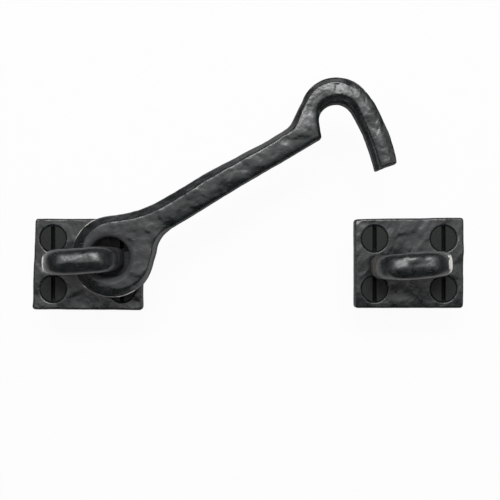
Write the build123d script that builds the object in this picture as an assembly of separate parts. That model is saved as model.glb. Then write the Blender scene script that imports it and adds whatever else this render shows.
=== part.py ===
from build123d import *
import os
from math import radians, sqrt, tan

os.makedirs("parts", exist_ok=True)

# Cabin hook: a forged hook swings on a staple in the hook plate and drops into a staple on the keep plate.
# All sizes are in millimetres. The set lies on its back: X runs from the hook plate to the keep plate,
# Y runs up the door and Z stands out of the plates. The origin is the middle of the hook plate's back face.

# Back plates
plate_w = 32.8
plate_h = 27.4
plate_t = 4.0
plate_corner = 0.9  # radius of the upright corners
plate_round = 0.6  # rounding of the front rim

# Slotted countersunk wood screws, number 8 by 3/4 inch
screw_head_d = 7.7
screw_rim = 0.2  # straight rim above the head's cone
screw_shank_d = 4.2
screw_core_d = 3.4  # body of the threaded length
screw_length = 19.0
screw_thread_l = 12.7  # threaded length, with its point
screw_point_l = 4.0
screw_tip_d = 0.5
slot_w = 1.2
slot_depth = 1.2
screw_sink = 0.2  # the head sits this far below the plate's face
screw_hole_play = 0.3  # between the shank and its hole, all round
screw_pitch_x = 20.8
screw_pitch_y = 15.2

# Staples: a round-edged bar bent to an arch, its crown hammered wider, its feet riveted through the plate
leg_w = 6.8  # across the arch
leg_t = 4.8
leg_round = 2.3  # corners of the bar at the legs
leg_pitch = 18.2  # between the middles of the two legs
crown_w = 7.8
crown_t = 5.2
crown_round = 2.4  # corners of the bar at the crown
shoulder_r = 5.0  # bend of the bar's middle line
rivet_d = 4.4
staple_skew = 3.5  # both staples are set a little askew, in degrees
hook_staple_x, hook_staple_y = -0.35, 1.0  # from the hook plate's middle
keep_staple_x, keep_staple_y = -0.18, -0.3  # from the keep plate's middle

# Hook, measured from the leg it swings on, with its shank along its own x axis
hook_t = 7.2
hook_open = 29.5  # angle of the shank above the X axis
eye_r = 12.1
eye_x, eye_y = 0.0, 0.8  # the eye's middle from the leg's, as the eye hangs loose on its leg
eye_hole_r = 5.9
eye_hole_x, eye_hole_y = -0.6, 1.0  # the hole's middle from the leg's
hole_round = 1.3
eye_float = 0.4  # under the eye, above the plate
crown_gap = 1.4  # above the eye, under the crown
shank_top = 8.3  # the shank's upper edge above the leg's middle
shank_w_eye = 8.9
shank_w_hook = 7.5
neck_r_top = 34.0
neck_r_low = 12.5
notch_reach = 77.35  # from the swing axis to the middle of the notch
notch_rise = 2.95
notch_play = 2.9  # between the keep's leg and the notch, all round
keep_lead = 1.65  # the keep's leg stands this far beyond the notch's middle when the hook lies level
heel_lean = 20.0  # slope of the notch's heel, in degrees
bend_w = 7.35  # bar width at the top of the bend
bend_end = 12.0  # where the outer bend gives way to the tip, in degrees above level
bend_shift, bend_lift = 0.85, 2.2  # the outer bend's middle from the notch's middle
rise_slope = 35.0  # ramp from the shank up to the bend, in degrees
rise_r = 6.0
tip_drop = 19.0
tip_curl = 2.4  # how far the tip comes back towards the shank
tip_w = 6.55
tip_cut = 8.0  # slope of the tip's end, in degrees

# Bevels hammered round both faces of the hook: how deep they go, and how far each face is set in by them
bevel_depth = 1.8
eye_bevel = 2.1
eye_face_x, eye_face_y = 1.3, -0.4  # from the eye's middle, so the bevel is widest away from the shank
top_bevel_eye, top_bevel_bend = 2.7, 1.2  # along the shank's upper edge
low_bevel = 0.9
bend_bevel = 2.0
tip_bevel = 2.2
end_bevel = 0.5
notch_bevel = 0.9

# Worked out from the sizes above
crown_middle = plate_t + eye_float + hook_t + crown_gap + crown_t / 2
screw_spots = GridLocations(screw_pitch_x, screw_pitch_y, 2, 2)
leg_spots = [Pos(-leg_pitch / 2, 0), Pos(leg_pitch / 2, 0)]
hook_staple_place = Location((hook_staple_x, hook_staple_y, 0), (0, 0, staple_skew))
keep_staple_place = Location((keep_staple_x, keep_staple_y, 0), (0, 0, staple_skew))
swing_axis = (hook_staple_place * leg_spots[1]).position
keep_leg = (keep_staple_place * leg_spots[0]).position
keep_plate_place = Pos(swing_axis.X + notch_reach + keep_lead - keep_leg.X, 0, 0)


def screw():
    """One screw, its head's face at z = 0, its point down and its slot along Y."""
    head_r, shank_r, core_r = screw_head_d / 2, screw_shank_d / 2, screw_core_d / 2
    thread_start = screw_thread_l - screw_length
    profile = Polyline(
        (0, 0),
        (head_r, 0),
        (head_r, -screw_rim),
        (shank_r, -screw_rim - head_r + shank_r),
        (shank_r, thread_start + shank_r - core_r),
        (core_r, thread_start),
        (core_r, screw_point_l - screw_length),
        (screw_tip_d / 2, -screw_length),
        (0, -screw_length),
        close=True,
    )
    turned = revolve(Plane.XZ * make_face(profile), Axis.Z)
    return turned - Pos(0, 0, -slot_depth / 2) * Box(slot_w, screw_head_d, slot_depth)


def countersink():
    """The hole that a screw sits in, through a plate from z = 0, with the head's cone as its seat."""
    hole_r = screw_shank_d / 2 + screw_hole_play
    seat_top = plate_t - screw_sink - screw_rim
    seat_low = seat_top - screw_head_d / 2 + hole_r
    seat_h = plate_t - seat_low
    seat = Solid.make_cone(hole_r, hole_r + seat_h, seat_h, Plane.XY.offset(seat_low))
    return seat + extrude(Circle(hole_r), plate_t)


def plate(staple_place):
    """A back plate with a rounded front rim, four countersunk holes and two rivet holes."""
    slab = extrude(RectangleRounded(plate_w, plate_h, plate_corner), plate_t)
    slab = fillet(slab.faces().sort_by(Axis.Z)[-1].edges(), plate_round)
    slab -= [spot * countersink() for spot in screw_spots]
    return slab - [staple_place * spot * extrude(Circle(rivet_d / 2), plate_t) for spot in leg_spots]


def screws():
    """The four screws of one plate."""
    seated = Pos(0, 0, plate_t - screw_sink) * screw()
    return Compound(children=[spot * seated for spot in screw_spots])


def staple():
    """An arch over a plate: two legs, a crown that widens towards its middle and two rivet ends."""
    half = leg_pitch / 2
    bend_start = crown_middle - shoulder_r
    eighth = shoulder_r * (1 - sqrt(0.5))
    left_bend = ThreePointArc(
        (-half, 0, bend_start),
        (eighth - half, 0, crown_middle - eighth),
        (shoulder_r - half, 0, crown_middle),
    )
    right_bend = ThreePointArc(
        (half - shoulder_r, 0, crown_middle),
        (half - eighth, 0, crown_middle - eighth),
        (half, 0, bend_start),
    )
    middle_line = Wire([left_bend, Line(left_bend @ 1, right_bend @ 0), right_bend])
    leg = RectangleRounded(leg_t, leg_w, leg_round)
    crown = RectangleRounded(crown_t, crown_w, crown_round)
    sections = [
        Plane((-half, 0, bend_start), x_dir=(1, 0, 0), z_dir=(0, 0, 1)) * leg,
        Plane((0, 0, crown_middle), x_dir=(0, 0, -1), z_dir=(1, 0, 0)) * crown,
        Plane((half, 0, bend_start), x_dir=(-1, 0, 0), z_dir=(0, 0, -1)) * leg,
    ]
    arch = sweep(sections, path=middle_line, multisection=True)
    for spot in leg_spots:
        arch += spot * Pos(0, 0, plate_t) * extrude(leg, bend_start - plate_t)
        arch += spot * extrude(Circle(rivet_d / 2), plate_t)
    return arch


def blend(centre, radius, point, along, aside, blend_r):
    """The arc that eases a circle into a straight edge, after its ends on the circle and on the edge.

    The edge passes through point and runs along from the circle, and the arc is on the side of aside.
    """
    start = point + aside * blend_r - centre
    drift = start.dot(along)
    run = sqrt(drift**2 - start.dot(start) + (radius + blend_r) ** 2) - drift
    middle = centre + start + along * run
    on_circle = centre + (middle - centre).normalized() * radius
    on_edge = middle - aside * blend_r
    halfway = middle + ((on_circle + on_edge) / 2 - middle).normalized() * blend_r
    return on_circle, on_edge, ThreePointArc(on_circle, halfway, on_edge)


def outline(inset):
    """The hook's outline about its swing axis: at its full width, or at its faces where inset is 1."""
    right, up = Vector(1, 0), Vector(0, 1)
    eye = Vector(eye_x + inset * eye_face_x, eye_y + inset * eye_face_y)
    rim_r = eye_r - inset * eye_bevel
    notch = Vector(notch_reach, notch_rise)
    notch_r = leg_t / 2 + notch_play
    bend = notch + Vector(bend_shift, bend_lift)
    bend_r = notch_r + bend_w - bend_lift - inset * bend_bevel

    # The shank's edges lean towards each other, because the shank narrows towards the bend
    top_start = Vector(eye_r, shank_top - inset * top_bevel_eye)
    top_end = Vector(notch_reach - notch_r, shank_top - inset * top_bevel_bend)
    low_start = Vector(eye_r, shank_top - shank_w_eye + inset * low_bevel)
    low_end = Vector(notch_reach - notch_r, shank_top - shank_w_hook + inset * low_bevel)
    top_along = (top_end - top_start).normalized()
    low_along = (low_end - low_start).normalized()
    top_aside = top_along.rotate(Axis.Z, 90)
    low_aside = low_along.rotate(Axis.Z, -90)
    eye_top, neck_top, top_neck = blend(eye, rim_r, top_start, top_along, top_aside, neck_r_top)
    eye_low, neck_low, low_neck = blend(eye, rim_r, low_start, low_along, low_aside, neck_r_low)

    # A straight ramp touches the outer bend and is eased into the shank's upper edge
    ramp_way = right.rotate(Axis.Z, rise_slope)
    ramp_aside = up.rotate(Axis.Z, rise_slope)
    ramp_top = bend + ramp_aside * bend_r
    corner = ramp_top + ramp_way * ((top_start - ramp_top).dot(top_aside) / ramp_way.dot(top_aside))
    ease = rise_r * tan(radians(top_along.get_angle(ramp_way) / 2))
    rise = TangentArc(corner - top_along * ease, corner + ramp_way * ease, tangent=top_along)

    # The heel leaves the notch's circle along its tangent and ends on the shank's lower edge
    heel_way = (-up).rotate(Axis.Z, -heel_lean)
    inner_r = notch_r + inset * notch_bevel
    heel_top = notch + heel_way.rotate(Axis.Z, -90) * inner_r
    heel = heel_top + heel_way * ((low_start - heel_top).dot(low_aside) / heel_way.dot(low_aside))

    # The tip runs down from the bend's side and curls back a little
    notch_side = notch + right * inner_r
    bend_out = right.rotate(Axis.Z, bend_end)
    bend_side = bend + bend_out * bend_r
    cut_way = right.rotate(Axis.Z, -tip_cut)
    cut_up = up.rotate(Axis.Z, -tip_cut)
    tip = notch + right * notch_r + Vector(-tip_curl, -tip_drop) + cut_up * inset * end_bevel
    tip_inner = tip + cut_way * inset * notch_bevel
    tip_outer = tip + cut_way * (tip_w - inset * tip_bevel)

    return Wire(
        [
            Line(heel, heel_top),
            ThreePointArc(heel_top, notch + up * inner_r, notch_side),
            TangentArc(notch_side, tip_inner, tangent=-up),
            Line(tip_inner, tip_outer),
            TangentArc(bend_side, tip_outer, tangent=bend_out.rotate(Axis.Z, -90)),
            ThreePointArc(ramp_top, bend + up * bend_r, bend_side),
            Line(rise @ 1, ramp_top),
            rise,
            Line(neck_top, rise @ 0),
            top_neck,
            ThreePointArc(eye_low, eye - right * rim_r, eye_top),
            low_neck,
            Line(neck_low, heel),
        ]
    )


def hook():
    """The hook from z = 0 up, with its swing axis at the origin and its shank along x."""
    levels = [(0, 1), (bevel_depth, 0), (hook_t - bevel_depth, 0), (hook_t, 1)]
    body = Solid.make_loft([Pos(0, 0, height) * outline(inset) for height, inset in levels], True)
    body -= Pos(eye_hole_x, eye_hole_y) * extrude(Circle(eye_hole_r), hook_t)
    rims = [rim for rim in body.edges().filter_by(GeomType.CIRCLE) if abs(rim.radius - eye_hole_r) < 0.001]
    return fillet(rims, hole_round)


nodes = {
    "hook": Location(swing_axis, (0, 0, hook_open)) * Pos(0, 0, plate_t + eye_float) * hook(),
    "hook_plate": plate(hook_staple_place),
    "hook_plate_screws": screws(),
    "hook_staple": hook_staple_place * staple(),
    "keep_plate": keep_plate_place * plate(keep_staple_place),
    "keep_plate_screws": keep_plate_place * screws(),
    "keep_staple": keep_plate_place * keep_staple_place * staple(),
}
for name, piece in nodes.items():
    export_step(piece, f"parts/{name}.step")
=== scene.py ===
import math

import bmesh
import bpy
from mathutils import Matrix, Vector, noise


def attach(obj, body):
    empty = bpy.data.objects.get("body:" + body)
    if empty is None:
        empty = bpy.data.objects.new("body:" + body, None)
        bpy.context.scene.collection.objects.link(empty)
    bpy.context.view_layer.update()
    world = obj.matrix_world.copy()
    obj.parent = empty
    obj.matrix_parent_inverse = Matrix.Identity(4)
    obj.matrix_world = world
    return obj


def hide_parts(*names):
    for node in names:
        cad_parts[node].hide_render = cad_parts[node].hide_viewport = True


# The looks of a cabin hook: a forged hook on a staple plate, and a keep plate with its own staple.
# The frame's own place is kept: X from plate to plate, Y up the door, Z out of the plates, in metres.

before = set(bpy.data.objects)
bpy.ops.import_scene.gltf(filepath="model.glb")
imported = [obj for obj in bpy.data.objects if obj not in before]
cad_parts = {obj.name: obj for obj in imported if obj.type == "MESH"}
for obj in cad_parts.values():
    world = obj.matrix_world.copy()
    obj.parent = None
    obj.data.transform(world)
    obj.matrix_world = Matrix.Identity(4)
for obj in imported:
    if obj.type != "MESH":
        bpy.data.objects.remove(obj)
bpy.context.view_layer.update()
scene = bpy.context.scene
noise.seed_set(3)  # the same hammer blows on each run
MM = 0.001

# Sizes in millimetres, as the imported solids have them
PLATE_W, PLATE_H = 32.8, 27.4
HOOK_PLATE = Vector((0.0, 0.0, 0.0))
KEEP_PLATE = Vector((96.996, 0.0, 0.0))
SCREW_PITCH_X, SCREW_PITCH_Y = 20.8, 15.2
HEAD_FACE, SLOT_FLOOR, SLOT_W = 3.8, 2.6, 1.2
THREAD_START, THREAD_POINT, THREAD_TIP = -2.5, -11.2, -15.2
CORE_R, TIP_R, CREST_R = 1.7, 0.25, 2.1
THREAD_PITCH = 1.7  # 15 threads to the inch
STAPLE_SKEW = math.radians(3.5)
SWING_AXIS = Vector((8.733, 1.5555, 0.0))
HOOK_OPEN = math.radians(29.5)
HOOK_MIDDLE, HOOK_FACE = 8.0, 11.6  # heights of the middle of the hook's thickness and of its front
BEVEL_DEPTH = 1.8
EYE = Vector((8.34, 2.25, 0.0))  # middle of the eye at rest
EYE_R = 12.1

# Places on the hook in millimetres, along its shank and above it, from the swing axis
HOLE = Vector((-0.6, 1.0))
HOLE_R = 5.9
NECK_END = 14.0  # the shank begins here
LOW_PART = 3.0  # the shank's lower edge and its bevel are below this
SHANK_RIDGE = 6.6  # between the shank's face and its upper bevel
RAMP = 62.0  # the shank's upper edge rises to the bend from here
HEEL_START, HEEL = 70.0, 74.0
NOTCH = Vector((77.35, 2.95))
NOTCH_R, NOTCH_BEVEL = 5.3, 0.9
BEND_TOP = 16.0
TIP_CURVE = Vector((6.25, 2.95))  # middle of the long arc that the tip's inside follows
TIP_CURVE_R = 76.4

# What hammering by hand changes on the hook's outline, in millimetres
TOP_SWELLS = ((36, 7, 0.32), (56, 5, -0.28))  # on the shank's upper edge: place along it, reach, amount
LOW_SWELLS = ((46, 9, 0.2),)  # the same on its lower edge
NECK_FULLER, SHOULDER_FULLER, SIDE_LEANER = 0.38, 0.4, 0.25
TIP_SHORTER, TIP_INWARD = 0.45, 0.2

# What it changes on the hook's front
WORKED_DEPTH = 5.0  # as deep below the face as the bevels are reshaped
LOW_FOOT, BEND_FOOT, TIP_FOOT = 0.8, 1.35, 0.2  # new depths of the bevels' feet
BEND_SKIP = 0.25  # share of its old depth after which the bevel outside the bend begins
SHANK_ROLL, BEND_CROWN = 0.013, 0.035  # drop for each square millimetre of distance
BEND_LEAN = 0.04  # drop for each millimetre below the bend's top
CROWN_LINE = 3.0  # the crown's highest line, from the gooseneck's inner edge

# Size across and depth, in millimetres, of the fire scale and of the plates' hammering
FIRE_SCALE = (0.9, 0.015)
PLATE_FLATS = ((5.5, 0.30), (1.9, 0.05))
PLATE_WAVE = (12.0, 0.08)

# Spots on the pieces: a middle, its reach along X, Y and Z, in millimetres, and an amount
UNDER_EYE = [((7.7, 2.1, 4.0), (9.0, 9.0, 4.0), 1.0)]
# The hook staple's outer end takes a painted white highlight
HOOK_STAPLE_END_GLINT = [((-11.7, 0.9, 13.0), (1.9, 4.2, 4.0), 1.0)]
# The keep staple's inner foot is rubbed brown, and its outer end takes a painted white highlight
KEEP_STAPLE_WEAR_AND_GLINT = [
    ((85.6, -0.9, 8.0), (3.0, 5.0, 6.0), 0.5),
    ((107.8, 0.3, 13.4), (2.7, 4.4, 4.4), 1.0),
]


def linear(hex_colour):
    """An sRGB hex colour as the linear colour that a shader takes."""
    parts = [int(hex_colour[i : i + 2], 16) / 255 for i in (1, 3, 5)]
    return [p / 12.92 if p <= 0.04045 else ((p + 0.055) / 1.055) ** 2.4 for p in parts] + [1.0]


def node(tree, kind, sockets=None, **settings):
    """A new node with its settings; a socket takes a value, or a link from another node's output."""
    made = tree.nodes.new(kind)
    for name, value in settings.items():
        setattr(made, name, value)
    for name, value in (sockets or {}).items():
        if isinstance(value, bpy.types.NodeSocket):
            tree.links.new(value, made.inputs[name])
        else:
            made.inputs[name].default_value = value
    return made


def new_material(name):
    """An empty node material and its tree."""
    material = bpy.data.materials.new(name)
    material.use_nodes = True
    material.node_tree.nodes.clear()
    return material, material.node_tree


def smooth_step(low, high, value):
    """0 at low and before it, 1 at high and beyond, and a smooth change between; low may be the larger."""
    share = min(1.0, max(0.0, (value - low) / (high - low)))
    return share * share * (3 - 2 * share)


def hump(middle, reach, value):
    """1 at the middle, and dying away on both sides of it within about two reaches."""
    return math.exp(-(((value - middle) / reach) ** 2))


def as_object(name, bm):
    """A bmesh made into an object at the origin; the bmesh is freed."""
    mesh = bpy.data.meshes.new(name)
    bm.to_mesh(mesh)
    bm.free()
    made = bpy.data.objects.new(name, mesh)
    scene.collection.objects.link(made)
    return made


def camera():
    """Looks straight down on the set, from where the photograph was taken."""
    data = bpy.data.cameras.new("camera")
    data.sensor_width = 36.0
    data.lens = 59.47
    data.clip_start = 0.01
    made = bpy.data.objects.new("camera", data)
    made.location = (0.0490, 0.0042, 0.253)
    scene.collection.objects.link(made)
    scene.camera = made


def soft_lamp(name, place, aim, width, height, watts):
    """A rectangular soft lamp that faces its aim."""
    data = bpy.data.lights.new(name, "AREA")
    data.shape = "RECTANGLE"
    data.size, data.size_y = width, height
    data.energy = watts
    lamp = bpy.data.objects.new(name, data)
    lamp.location = place
    lamp.rotation_euler = (Vector(place) - Vector(aim)).to_track_quat("Z", "Y").to_euler()
    scene.collection.objects.link(lamp)


def white_world():
    """A plain white surround."""
    scene.world = bpy.data.worlds.new("studio")
    scene.world.use_nodes = True
    tree = scene.world.node_tree
    tree.nodes.clear()
    ground = node(tree, "ShaderNodeBackground", {"Color": (1.0, 1.0, 1.0, 1.0), "Strength": 1.0})
    node(tree, "ShaderNodeOutputWorld", {"Surface": ground.outputs[0]})


def white_floor():
    """A white card just under the screws' points.

    The lens and the gloss see it nearly all white by its own light, with a faint soft shadow.
    """
    own_light = 0.95
    material, tree = new_material("white_card_floor")
    path = node(tree, "ShaderNodeLightPath")
    seen = path.outputs["Is Camera Ray"]
    for ray in ("Is Glossy Ray", "Is Transmission Ray"):
        either = node(tree, "ShaderNodeMath", {0: seen, 1: path.outputs[ray]}, operation="MAXIMUM")
        seen = either.outputs[0]
    share = node(tree, "ShaderNodeMath", {0: seen, 1: own_light}, operation="MULTIPLY")
    card = node(tree, "ShaderNodeBsdfDiffuse", {"Color": linear("#f4f4f4")})
    white = node(tree, "ShaderNodeEmission", {"Color": (1.0, 1.0, 1.0, 1.0), "Strength": 1.0})
    mixed = node(
        tree, "ShaderNodeMixShader",
        {"Fac": share.outputs[0], 1: card.outputs[0], 2: white.outputs[0]},
    )
    node(tree, "ShaderNodeOutputMaterial", {"Surface": mixed.outputs[0]})
    bm = bmesh.new()
    bmesh.ops.create_grid(
        bm, x_segments=1, y_segments=1, size=4.0,
        matrix=Matrix.Translation((0.05, 0.02, (THREAD_TIP - 0.1) * MM)),
    )
    floor = as_object("floor", bm)
    floor.data.materials.append(material)


def paper(name, hex_colour, bm):
    """A sheet of studio paper that the lens doesn't see: it shapes the light and what the gloss shows."""
    material, tree = new_material(name + "_matt_paper")
    sheet = node(tree, "ShaderNodeBsdfDiffuse", {"Color": linear(hex_colour)})
    node(tree, "ShaderNodeOutputMaterial", {"Surface": sheet.outputs[0]})
    made = as_object(name, bm)
    made.data.materials.append(material)
    made.visible_camera = False


def surround():
    """A grey paper drum round the set and a black flag above its front: the gloss is dark towards both."""
    drum = bmesh.new()
    bmesh.ops.create_cone(
        drum, cap_ends=False, segments=64, radius1=0.8, radius2=0.8, depth=0.8,
        matrix=Matrix.Translation((0.05, 0.02, 0.4)),
    )
    paper("grey_drum", "#6e6e6e", drum)
    flag = bmesh.new()
    bmesh.ops.create_grid(
        flag, x_segments=1, y_segments=1, size=0.5, matrix=Matrix.Translation((0.05, -0.60, 0.72)),
    )
    paper("black_flag", "#1c1c1c", flag)


def solid_copy(name):
    """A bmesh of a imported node, its loose triangles merged into one skin."""
    bm = bmesh.new()
    bm.from_mesh(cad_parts[name].data)
    bmesh.ops.remove_doubles(bm, verts=bm.verts, dist=0.002 * MM)
    return bm


def even_skin(name, square, ease):
    """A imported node's form as an even skin of small squares, its edges eased, as a bmesh."""
    rough = as_object(name + "_rough", solid_copy(name))
    remesh = rough.modifiers.new("skin", "REMESH")
    remesh.mode = "VOXEL"
    remesh.voxel_size = square * MM
    mesh = bpy.data.meshes.new_from_object(rough.evaluated_get(bpy.context.evaluated_depsgraph_get()))
    bm = bmesh.new()
    bm.from_mesh(mesh)
    bpy.data.objects.remove(rough)
    bpy.data.meshes.remove(mesh)
    soften(bm, bm.verts, ease)
    return bm


def soften(bm, verts, passes):
    """Eases the form at some of a skin's points."""
    for _ in range(passes):
        bmesh.ops.smooth_vert(
            bm, verts=verts, factor=0.5, use_axis_x=True, use_axis_y=True, use_axis_z=True
        )
    bm.normal_update()


def hammer_flats(point, size, seed):
    """Depth, from about -1 to 1, of hammer flats of a given size: each blow leaves its own tilted flat."""
    border, steepness = 9.0, 1.5
    spot = point / size + Vector((seed, seed * 0.37, seed * 0.73))
    near, middles = noise.voronoi(spot)
    total, depth = 0.0, 0.0
    for away, middle in zip(near, middles):
        weight = math.exp(-border * (away - near[0]))
        # Odd factors and a shift, so that a flat's tilt and its lift don't follow each other
        tilt = noise.noise_vector(middle * 7.31)
        lift = noise.noise(middle * 5.17 + Vector((3.1, 1.7, 9.2)))
        depth += weight * (lift + steepness * tilt.dot(spot - middle))
        total += weight
    return depth / total


def hammered(bm, seed, flats, wave, scale, side, where=None, strokes=None):
    """Moves a skin along its normals by hammer flats and rough scale: all of it in front, less behind.

    Each entry of flats, the slow wave and the fire scale are a size across and a depth, in millimetres.
    The share of the move at the sides is given, and where gives a share for each place. Strokes are flats
    drawn out to long marks: their size, their depth, and the angle that they lean, in degrees.
    """
    back_loss = 0.6
    if strokes:
        stroke_size, stroke_depth, stroke_lean = strokes
        lay = Matrix.Diagonal((1.0, 0.5, 1.0)) @ Matrix.Rotation(math.radians(stroke_lean), 3, "Z")
    moves = []
    for vert in bm.verts:
        point = vert.co / MM
        share = where(vert.co) if where else 1.0
        if share < 0.01:
            moves.append(0.0)
            continue
        move = sum(depth * hammer_flats(point, size, seed + size) for size, depth in flats)
        if strokes:
            move += stroke_depth * hammer_flats(lay @ point, stroke_size, seed)
        move += wave[1] * noise.noise(point / wave[0] + Vector((seed, 0, 0)))
        move += scale[1] * noise.turbulence(point / scale[0], 2, False)
        front = vert.normal.z
        share *= side + (1 - side) * front if front > 0 else side + back_loss * side * front
        moves.append(move * share * MM)
    for vert, move in zip(bm.verts, moves):
        vert.co += vert.normal * move
    bm.normal_update()


def along_hook(point):
    """A point's place along and above the hook's shank, from its swing axis, in millimetres."""
    return Matrix.Rotation(-HOOK_OPEN, 3, "Z") @ (point / MM - SWING_AXIS)


def from_inside(along, above):
    """How far a place on the gooseneck is from its inner edge, in millimetres."""
    if above > NOTCH.y:
        return math.hypot(along - NOTCH.x, above - NOTCH.y) - NOTCH_R
    return math.hypot(along - TIP_CURVE.x, above - TIP_CURVE.y) - TIP_CURVE_R


def inner_bevel(above):
    """Width of the bevel inside the gooseneck, in millimetres: widest at the top of the bend."""
    return 1.6 + 0.6 * smooth_step(-2, 6, above)


def past_heel(along):
    """0 at the notch's heel, and 1 near the notch's middle and beyond."""
    return smooth_step(NOTCH.x - 5, NOTCH.x - 1, along)


def flatter(depth, skip, foot):
    """New depth below the face of a place on a bevel that is hammered flatter, in millimetres.

    The bevel begins after a share of its old depth, and ends at its foot. What lies deeper is stretched
    evenly, down to the depth where the work ends.
    """
    if depth < BEVEL_DEPTH:
        return foot * max(0.0, (depth / BEVEL_DEPTH - skip) / (1 - skip))
    return foot + (depth - BEVEL_DEPTH) * (WORKED_DEPTH - foot) / (WORKED_DEPTH - BEVEL_DEPTH)


def bevel_rise(along, above, depth, lean):
    """How far a place on one of the hook's bevels is raised, in millimetres.

    The bevel below the shank and at the heel is hammered flatter. The one outside the bend gets narrow, and
    down the tip's outer side it is hammered nearly away.
    """
    inward = -lean.y if along < HEEL and above < LOW_PART else 0.0
    outward, round_bend = 0.0, 1.0
    if along > RAMP:
        to_notch = (NOTCH - Vector((along, max(above, NOTCH.y)))).normalized()
        outward = -lean.xy.dot(to_notch)
        round_bend = smooth_step(0.85, 0.55, -to_notch.x)
        if along > HEEL_START:
            inward = max(inward, -outward * (1 - past_heel(along)))
    rise = 0.0
    for facing, start, skip, foot in (
        (inward, NECK_END, 0.0, LOW_FOOT),
        (outward, RAMP, BEND_SKIP * round_bend, TIP_FOOT + (BEND_FOOT - TIP_FOOT) * round_bend),
    ):
        share = smooth_step(0.1, 0.45, facing) * smooth_step(start, start + 8, along)
        rise += share * (depth - flatter(depth, skip, foot))
    return rise


def face_drop(along, above, depth, lean):
    """How far a place on the hook's front is hammered down, in millimetres.

    Below its ridge the shank's face rolls away towards the lower edge, and the bend's left side leans back.
    The gooseneck's face is crowned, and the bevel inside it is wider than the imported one.
    """
    upright = smooth_step(0.2, 0.6, lean.z)
    on_shank = smooth_step(NECK_END, NECK_END + 6, along) * smooth_step(73, 68, along)
    drop = SHANK_ROLL * on_shank * upright * max(0.0, SHANK_RIDGE - above) ** 2
    left_side = smooth_step(66, 73, along) * smooth_step(85, 76, along)
    drop += BEND_LEAN * left_side * (1 - depth / WORKED_DEPTH) * max(0.0, BEND_TOP - above)
    if above > NOTCH.y or along > NOTCH.x:
        inside = max(0.0, from_inside(along, above))
        drop += BEND_CROWN * smooth_step(HEEL_START, 80, along) * upright * (inside - CROWN_LINE) ** 2
        wider = max(0.0, 1 - inside / inner_bevel(above)) - max(0.0, 1 - inside / NOTCH_BEVEL)
        drop += BEVEL_DEPTH * max(0.0, wider) * past_heel(along)
    return drop


def hammer_front(bm):
    """Lays the bevels and the face of the hook's shank and gooseneck as they were hammered."""
    turn = Matrix.Rotation(-HOOK_OPEN, 3, "Z")
    for vert in bm.verts:
        along, above, _ = along_hook(vert.co)
        depth = HOOK_FACE - vert.co.z / MM
        if along >= NECK_END and depth <= WORKED_DEPTH:
            lean = turn @ vert.normal
            move = bevel_rise(along, above, depth, lean) - face_drop(along, above, depth, lean)
            vert.co.z += move * MM
    bm.normal_update()


def draw_out(bm):
    """Makes the hook uneven, as drawn out by hand, by up to half a millimetre.

    The shank is fuller at mid-length and leaner near the bend, and the neck is fuller below. The bend is
    fuller at its shoulder and leaner down its outer side, and the tip is shorter and turns in more.
    """
    turn = Matrix.Rotation(HOOK_OPEN, 3, "Z")
    for vert in bm.verts:
        along, above, _ = along_hook(vert.co)
        top = smooth_step(4.2, 7.0, above)
        low = 1 - smooth_step(0.0, 3.5, above)
        on_tip = smooth_step(76, 78, along)
        rise = top * sum(amount * hump(place, reach, along) for place, reach, amount in TOP_SWELLS)
        rise += low * sum(amount * hump(place, reach, along) for place, reach, amount in LOW_SWELLS)
        rise += TIP_SHORTER * on_tip * smooth_step(8, 18, -above)
        out = SHOULDER_FULLER * smooth_step(84.5, 88.5, along) * hump(3, 3.5, above)
        out -= TIP_INWARD * on_tip * smooth_step(3, 11, -above)
        if along > 80 and above < 8:
            out -= SIDE_LEANER * smooth_step(3.5, 6.0, from_inside(along, above)) * smooth_step(8, 2, above)
        away = math.hypot(along, above)
        on_neck = smooth_step(9.0, 11.5, away) * smooth_step(17, 14, away)
        swell = NECK_FULLER * on_neck * hump(-22, 9, math.degrees(math.atan2(above, along)))
        move = Vector((out + swell * along / away, rise + swell * above / away, 0.0))
        vert.co += turn @ move * MM


def ease_hook(bm):
    """Rounds the front of the eye's hole, the shank's lower edge, and most of the gooseneck's face."""
    rim_w, low_edge, tip_end = 3.0, 2.6, -13.5
    shank_start, shank_end = 17, 67
    rim, low, bend = [], [], []
    for vert in bm.verts:
        along, above, _ = along_hook(vert.co)
        front = vert.normal.z
        if front < -0.1 or vert.co.z < HOOK_MIDDLE * MM:
            continue
        if (Vector((along, above)) - HOLE).length < HOLE_R + rim_w:
            rim.append(vert)
        elif shank_start < along < shank_end and above < low_edge and front > 0.1:
            low.append(vert)
        elif along > shank_end and above > tip_end and front > 0.15:
            # Round the bend the outer ridge stays crisp; down the tip the whole face is eased
            outer = 5.3 if above > 6 else 9.0
            if inner_bevel(above) + 0.5 < from_inside(along, above) < outer:
                bend.append(vert)
    soften(bm, rim, passes=28)
    soften(bm, low, passes=28)
    soften(bm, bend, passes=40)


def ridge_crown(bm, middle):
    """Hammers a staple's crown into two long flats that meet in a soft ridge just below its middle."""
    off_middle, softness, slope = 0.3, 0.3, 0.15
    turn = Matrix.Rotation(-STAPLE_SKEW, 3, "Z")
    for vert in bm.verts:
        across = (turn @ (vert.co / MM - Vector(middle))).y + off_middle
        drop = slope * (math.hypot(across, softness) - softness)
        share = max(0.0, vert.normal.z) * smooth_step(11.0, 14.0, vert.co.z / MM)
        vert.co.z -= drop * share * MM
    bm.normal_update()


def bow_down(bm):
    """Bows a plate's lower half back a little towards its lower edge."""
    bow = 0.003  # for each square millimetre of distance
    for vert in bm.verts:
        low = max(0.0, -vert.co.y / MM - 1.0)
        vert.co.z -= bow * low * low * smooth_step(1.0, 3.0, vert.co.z / MM) * MM
    bm.normal_update()


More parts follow.
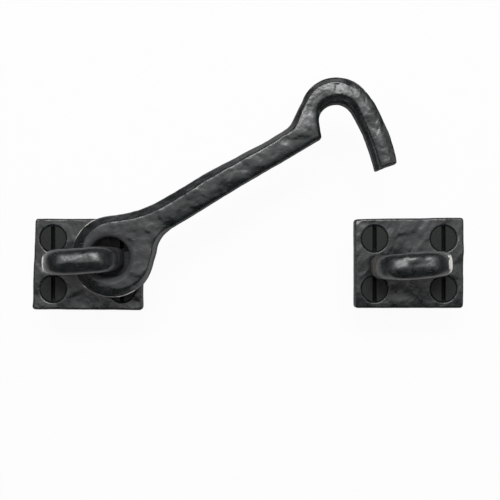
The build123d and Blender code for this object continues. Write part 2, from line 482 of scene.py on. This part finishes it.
def hand_cut(bm, middle, left, right, low, high):
    """Moves the strips along a plate's edges out, as the plate was cut by hand.

    Each edge has two amounts in millimetres, at its lower or left end and at its other end.
    """
    strip_x, strip_y = 14.5, 11.7  # where the strips begin, from the plate's middle
    for vert in bm.verts:
        x, y, _ = vert.co / MM - middle
        u, v = 0.5 + x / PLATE_W, 0.5 + y / PLATE_H
        side = right if x > 0 else left
        edge = high if y > 0 else low
        out_x = (side[0] + (side[1] - side[0]) * v) * smooth_step(strip_x, PLATE_W / 2, abs(x))
        out_y = (edge[0] + (edge[1] - edge[0]) * u) * smooth_step(strip_y, PLATE_H / 2, abs(y))
        vert.co.x += (out_x if x > 0 else -out_x) * MM
        vert.co.y += (out_y if y > 0 else -out_y) * MM


def proud_of_surroundings(bm):
    """How far each point stands out from its neighbours, in millimetres, evened out over a few squares."""
    proud = []
    for vert in bm.verts:
        middle = sum((e.other_vert(vert).co for e in vert.link_edges), Vector())
        middle /= max(1, len(vert.link_edges))
        proud.append((vert.co - middle).dot(vert.normal) / MM)
    for _ in range(4):
        proud = [
            (proud[v.index] + sum(proud[e.other_vert(v).index] for e in v.link_edges))
            / (1 + len(v.link_edges))
            for v in bm.verts
        ]
    return proud


def spot_share(point, spots):
    """How far a point lies in any of some ragged spots: 0 outside, up to the spot's amount inside."""
    share = 0.0
    for middle, reach, amount in spots:
        away = Vector((a - b) / c for a, b, c in zip(point / MM, middle, reach)).length
        away += 0.4 * noise.noise(point / (1.2 * MM))
        share = max(share, amount * (1 - smooth_step(0.5, 1.0, away)))
    return share


def eye_rim_glint(point):
    """A painted white highlight on the hook: a thin patchy line along two arcs of the eye's outer edge."""
    line_height = 9.6
    away = point / MM - EYE
    turn = math.degrees(math.atan2(away.y, away.x)) % 360
    near = smooth_step(0.55, 0.15, abs(away.xy.length - EYE_R))
    near *= smooth_step(0.8, 0.3, abs(away.z - line_height))
    upper = smooth_step(105, 118, turn) * smooth_step(165, 150, turn)
    lower = smooth_step(205, 225, turn) * smooth_step(325, 300, turn)
    patchy = 0.75 + 0.5 * noise.noise(point / (1.5 * MM))
    return near * patchy * max(upper, 0.7 * lower)


def in_hole(point):
    """How sheltered a place on the hook is: wholly in the eye's hole, and less towards its rim."""
    return smooth_step(HOLE_R + 2.2, HOLE_R + 0.8, (along_hook(point).xy - HOLE).length)


def finish_piece(name, bm, material, body, replaced, edge_full, rub_and_glint=None, sheltered=None):
    """A forged piece from its skin, edges, wear, painted highlights and matt places marked for its material.

    A point that stands out by edge_full millimetres is wholly an edge. The rubbed and the sheltered shares are
    given for each place: a low rubbed share is brown wear, a high one a painted white highlight. Where a piece
    is sheltered, and at its sides and back, it is matt, and its colour is lifted to a grey: painted fill
    light.
    """
    bm.normal_update()
    bm.verts.index_update()
    bm.verts.ensure_lookup_table()
    edge = bm.verts.layers.float.new("edge")
    wear_and_glint = bm.verts.layers.float.new("wear_and_glint")
    matt_and_fill = bm.verts.layers.float.new("matt_and_fill")
    proud = proud_of_surroundings(bm)
    for vert in bm.verts:
        vert[edge] = min(1.0, max(0.0, proud[vert.index] / edge_full))
        vert[wear_and_glint] = rub_and_glint(vert.co) if rub_and_glint else 0.0
        # Sides and backs: matt, with a grey colour that is painted fill light
        vert[matt_and_fill] = 1 - smooth_step(0.15, 0.5, vert.normal.z)
        if sheltered:
            vert[matt_and_fill] = max(vert[matt_and_fill], sheltered(vert.co))
    for face in bm.faces:
        face.smooth = True
    made = as_object(name, bm)
    made.data.materials.append(material)
    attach(made, body)
    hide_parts(replaced)


def forged_black_iron():
    """Black satin lacquer sprayed over hammered iron: soft wide highlights that break up on the flats."""
    material, tree = new_material("black_lacquered_hammered_iron")
    place = node(tree, "ShaderNodeTexCoord").outputs["Object"]
    edge = node(tree, "ShaderNodeAttribute", attribute_name="edge").outputs["Fac"]
    wear_and_glint = node(tree, "ShaderNodeAttribute", attribute_name="wear_and_glint").outputs["Fac"]
    matt_and_fill = node(tree, "ShaderNodeAttribute", attribute_name="matt_and_fill").outputs["Fac"]
    blotch = node(
        tree, "ShaderNodeTexNoise",
        {"Vector": place, "Scale": 1 / (3.0 * MM), "Detail": 4.0, "Roughness": 0.6},
    )
    grain = node(
        tree, "ShaderNodeTexNoise",
        {"Vector": place, "Scale": 1 / (0.5 * MM), "Detail": 3.0, "Roughness": 0.6},
    )
    # Uneven lacquer: thinner and greyer on some flats than on others
    tone = node(tree, "ShaderNodeValToRGB", {"Fac": blotch.outputs["Fac"]})
    tone.color_ramp.elements[0].position = 0.32
    tone.color_ramp.elements[0].color = linear("#0f1314")
    tone.color_ramp.elements[1].position = 0.70
    tone.color_ramp.elements[1].color = linear("#1f2527")
    # Fine light streaks that run askew, and light marks along edges: partly scratches and chipped grey
    # lacquer, partly painted highlights on hammer ridges and edges
    lie = node(
        tree, "ShaderNodeMapping",
        {"Vector": place, "Rotation": (0.0, 0.0, math.radians(-35)), "Scale": (900.0, 6000.0, 2000.0)},
    )
    streak = node(tree, "ShaderNodeTexNoise", {"Vector": lie.outputs[0], "Scale": 0.45, "Detail": 1.0})
    scratch_and_glint = node(
        tree, "ShaderNodeMapRange", {"Value": streak.outputs["Fac"], "From Min": 0.66, "From Max": 0.76}
    )
    chips_and_glints = node(
        tree, "ShaderNodeMapRange", {"Value": grain.outputs["Fac"], "From Min": 0.5, "From Max": 0.68}
    )
    rub_and_glint = node(tree, "ShaderNodeMath", {0: edge, 1: chips_and_glints.outputs[0]}, operation="MULTIPLY")
    marks = node(
        tree, "ShaderNodeMath",
        {0: scratch_and_glint.outputs[0], 1: 0.35, 2: rub_and_glint.outputs[0]}, operation="MULTIPLY_ADD", use_clamp=True,
    )
    # Sides, backs and sheltered places are rough, and their colour is lifted to a grey: painted fill light
    painted_fill = node(
        tree, "ShaderNodeMix",
        {"Factor": matt_and_fill, 6: tone.outputs["Color"], 7: linear("#383a3c")}, data_type="RGBA",
        blend_type="LIGHTEN",
    )
    worn_and_glinting = node(
        tree, "ShaderNodeMix",
        {"Factor": marks.outputs[0], 6: painted_fill.outputs[2], 7: linear("#6b6a66")}, data_type="RGBA",
    )
    # Where the lacquer is rubbed thin the iron shows brown; at the highest share a near-white colour, glossier
    # and half metal, is a painted highlight
    brown = node(
        tree, "ShaderNodeMapRange", {"Value": wear_and_glint, "From Min": 0.1, "From Max": 0.45, "To Max": 0.9}
    )
    # Painted highlight: the highest shares turn near-white
    painted_glint = node(tree, "ShaderNodeMapRange", {"Value": wear_and_glint, "From Min": 0.52, "From Max": 0.72})
    rusty = node(
        tree, "ShaderNodeMix",
        {"Factor": brown.outputs[0], 6: worn_and_glinting.outputs[2], 7: linear("#585048")}, data_type="RGBA",
    )
    iron = node(
        tree, "ShaderNodeMix",
        {"Factor": painted_glint.outputs[0], 6: rusty.outputs[2], 7: linear("#dddbd6")}, data_type="RGBA",
    )
    gloss = node(
        tree, "ShaderNodeMapRange",
        {"Value": blotch.outputs["Fac"], "From Min": 0.3, "From Max": 0.7, "To Min": 0.24, "To Max": 0.38},
    )
    matt = node(
        tree, "ShaderNodeMix", {"Factor": matt_and_fill, 2: gloss.outputs[0], 3: 0.85}, data_type="FLOAT"
    )
    rough = node(
        tree, "ShaderNodeMix",
        {"Factor": painted_glint.outputs[0], 2: matt.outputs[0], 3: 0.32}, data_type="FLOAT",
    )
    metal = node(tree, "ShaderNodeMath", {0: painted_glint.outputs[0], 1: 0.5}, operation="MULTIPLY")
    bump = node(
        tree, "ShaderNodeBump",
        {"Height": grain.outputs["Fac"], "Strength": 0.35, "Distance": 0.06 * MM},
    )
    lacquer = node(
        tree, "ShaderNodeBsdfPrincipled",
        {
            "Base Color": iron.outputs[2], "Roughness": rough.outputs[0], "Metallic": metal.outputs[0],
            "Specular IOR Level": 0.75, "Normal": bump.outputs[0],
        },
    )
    node(tree, "ShaderNodeOutputMaterial", {"Surface": lacquer.outputs[0]})
    return material


def japanned_steel():
    """Black japan baked on turned steel screws: darker than the forged parts, and matt."""
    material, tree = new_material("black_japanned_steel")
    place = node(tree, "ShaderNodeTexCoord").outputs["Object"]
    grain = node(tree, "ShaderNodeTexNoise", {"Vector": place, "Scale": 1 / (0.4 * MM), "Detail": 3.0})
    tone = node(tree, "ShaderNodeValToRGB", {"Fac": grain.outputs["Fac"]})
    tone.color_ramp.elements[0].position = 0.3
    tone.color_ramp.elements[0].color = linear("#181c19")
    tone.color_ramp.elements[1].position = 0.7
    tone.color_ramp.elements[1].color = linear("#262a27")
    bump = node(
        tree, "ShaderNodeBump",
        {"Height": grain.outputs["Fac"], "Strength": 0.2, "Distance": 0.03 * MM},
    )
    japan = node(
        tree, "ShaderNodeBsdfPrincipled",
        {
            "Base Color": tone.outputs["Color"], "Roughness": 0.55, "IOR": 1.5,
            "Specular IOR Level": 0.3, "Normal": bump.outputs[0],
        },
    )
    node(tree, "ShaderNodeOutputMaterial", {"Surface": japan.outputs[0]})
    return material


def slot_shade_japan():
    """Black japan in the screws' slots, dead black and with hardly any gloss: painted shade in the slots."""
    material, tree = new_material("black_japan_with_painted_slot_shade")
    japan = node(
        tree, "ShaderNodeBsdfPrincipled",
        {"Base Color": linear("#121512"), "Roughness": 0.8, "Specular IOR Level": 0.1},
    )
    node(tree, "ShaderNodeOutputMaterial", {"Surface": japan.outputs[0]})
    return material


def core_r(height):
    """Radius of a screw's threaded body at a height, in millimetres."""
    share = (THREAD_POINT - height) / (THREAD_POINT - THREAD_TIP)
    return CORE_R + (TIP_R - CORE_R) * min(1.0, max(0.0, share))


def wind_thread(bm, middle):
    """Winds a thread's ridge down a screw's body; it rises out of the body and dies away at the point."""
    steps = 24  # to each turn
    half_width, sunk = 0.45, 0.2  # of the ridge's foot, which is sunk in the body
    low_r = 0.25  # a ridge that has died away lies this far below the body's skin
    top, bottom = THREAD_START + 0.2, THREAD_TIP + 0.5
    turns = (top - bottom) / THREAD_PITCH
    wire = bmesh.ops.create_circle(bm, segments=3, radius=0.4 * MM)["verts"]
    edges = list({e for v in wire for e in v.link_edges})
    before = set(bm.verts) - set(wire)
    outward = sorted(wire, key=lambda v: v.co.y)
    corners = ((-sunk, -half_width), (-sunk, half_width), (CREST_R - CORE_R, 0.0))
    for vert, (out, up) in zip(outward, corners):
        vert.co = Vector((CORE_R + out, 0.0, top + up)) * MM
    bmesh.ops.spin(
        bm, geom=wire + edges, cent=(0, 0, 0), axis=(0, 0, 1), use_merge=False, use_duplicate=False,
        dvec=(0, 0, -THREAD_PITCH / steps * MM), angle=turns * 2 * math.pi, steps=round(turns * steps),
    )
    for vert in bm.verts:
        if vert in before:
            continue
        x, y, z = vert.co / MM
        away = math.hypot(x, y)
        grown = smooth_step(THREAD_START + 0.6, THREAD_START - 0.8, z)
        grown *= smooth_step(bottom - 0.6, bottom + 1.6, z)
        place = core_r(z) - low_r + (away - CORE_R + low_r) * grown
        vert.co = Vector((x / away * place, y / away * place, z)) * MM + middle * MM


def screws(name, plate_middle, materials, replaced):
    """The four screws of a plate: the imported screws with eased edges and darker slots, and wound threads."""
    eased = 0.09
    bm = solid_copy(replaced)
    bmesh.ops.dissolve_limit(bm, angle_limit=math.radians(1.0), verts=bm.verts, edges=bm.edges)
    sharp = [e for e in bm.edges if len(e.link_faces) == 2 and e.calc_face_angle() > math.radians(35)]
    bmesh.ops.bevel(
        bm, geom=sharp, offset=eased * MM, offset_type="OFFSET", segments=2, profile=0.5, affect="EDGES",
        clamp_overlap=True, material=-1,
    )
    for x in (-0.5, 0.5):
        for y in (-0.5, 0.5):
            middle = plate_middle + Vector((x * SCREW_PITCH_X, y * SCREW_PITCH_Y, 0))
            for face in bm.faces:
                aside, _, height = face.calc_center_median() / MM - middle
                deep = SLOT_FLOOR - 0.05 < height < HEAD_FACE - eased - 0.03
                if deep and abs(aside) < SLOT_W / 2 + 0.01:
                    # The slot's floor and walls take the painted slot shade
                    face.material_index = 1
            wind_thread(bm, middle)
    bmesh.ops.holes_fill(bm, edges=[e for e in bm.edges if e.is_boundary], sides=3)
    bmesh.ops.recalc_face_normals(bm, faces=bm.faces)
    made = as_object(name, bm)
    for material in materials:
        made.data.materials.append(material)
    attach(made, "plates")
    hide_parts(replaced)


camera()
white_world()
white_floor()
surround()
soft_lamp("lamp_above", (0.05, 0.35, 0.68), (0.05, 0.02, 0.0), width=0.44, height=0.15, watts=2.6)

iron = forged_black_iron()
japan = [japanned_steel(), slot_shade_japan()]

hook = even_skin("hook", square=0.24, ease=6)
hammer_front(hook)
ease_hook(hook)
draw_out(hook)
hammered(hook, seed=3.0, flats=((6.0, 0.28), (2.2, 0.11)), wave=(14.0, 0.12), scale=FIRE_SCALE, side=0.6)
# The gooseneck took more and smaller blows
hammered(
    hook, seed=7.0, flats=((2.4, 0.08), (1.2, 0.04)), wave=(6.0, 0.05), scale=(0.7, 0.02), side=0.2,
    where=lambda place: smooth_step(64, 72, along_hook(place).x),
)
finish_piece(
    "forged_hook", hook, iron, "hook", "hook",
    edge_full=0.029, rub_and_glint=eye_rim_glint, sheltered=in_hole,
)

plate = even_skin("hook_plate", square=0.2, ease=3)
hammered(
    plate, seed=11.0, flats=PLATE_FLATS, wave=PLATE_WAVE, scale=FIRE_SCALE, side=0.25,
    strokes=(1.5, 0.08, -35),
)
hand_cut(plate, HOOK_PLATE, left=(0.36, -0.57), right=(0.0, 0.0), low=(0.06, 0.3), high=(0.0, -0.1))
finish_piece(
    "hammered_hook_plate", plate, iron, "plates", "hook_plate",
    edge_full=0.02, sheltered=lambda place: spot_share(place, UNDER_EYE),
)

plate = even_skin("keep_plate", square=0.2, ease=3)
bow_down(plate)
hammered(
    plate, seed=23.0, flats=PLATE_FLATS, wave=PLATE_WAVE, scale=FIRE_SCALE, side=0.25,
    strokes=(1.5, 0.08, 25),
)
hand_cut(plate, KEEP_PLATE, left=(-0.1, 0.0), right=(0.05, 0.2), low=(-0.3, -0.33), high=(-0.15, 0.36))
finish_piece("hammered_keep_plate", plate, iron, "plates", "keep_plate", edge_full=0.02)

# Both staples get a painted white highlight at their outer ends, and the keep's is rubbed brown at its inner
# foot
for name, middle, seed, spots in (
    ("hook_staple", (-0.35, 1.0, 0.0), 31.0, HOOK_STAPLE_END_GLINT),
    ("keep_staple", (96.816, -0.3, 0.0), 43.0, KEEP_STAPLE_WEAR_AND_GLINT),
):
    staple = even_skin(name, square=0.22, ease=6)
    soften(staple, [v for v in staple.verts if v.co.z > 9 * MM], passes=40)
    ridge_crown(staple, middle)
    hammered(
        staple, seed, flats=((5.5, 0.40), (2.2, 0.06)), wave=(9.0, 0.10), scale=FIRE_SCALE, side=0.6,
    )
    finish_piece(
        "forged_" + name, staple, iron, "plates", name,
        edge_full=0.02, rub_and_glint=lambda place: spot_share(place, spots),
    )

screws("hook_plate_screw_set", HOOK_PLATE, japan, "hook_plate_screws")
screws("keep_plate_screw_set", KEEP_PLATE, japan, "keep_plate_screws")

scene.view_settings.view_transform = "Standard"
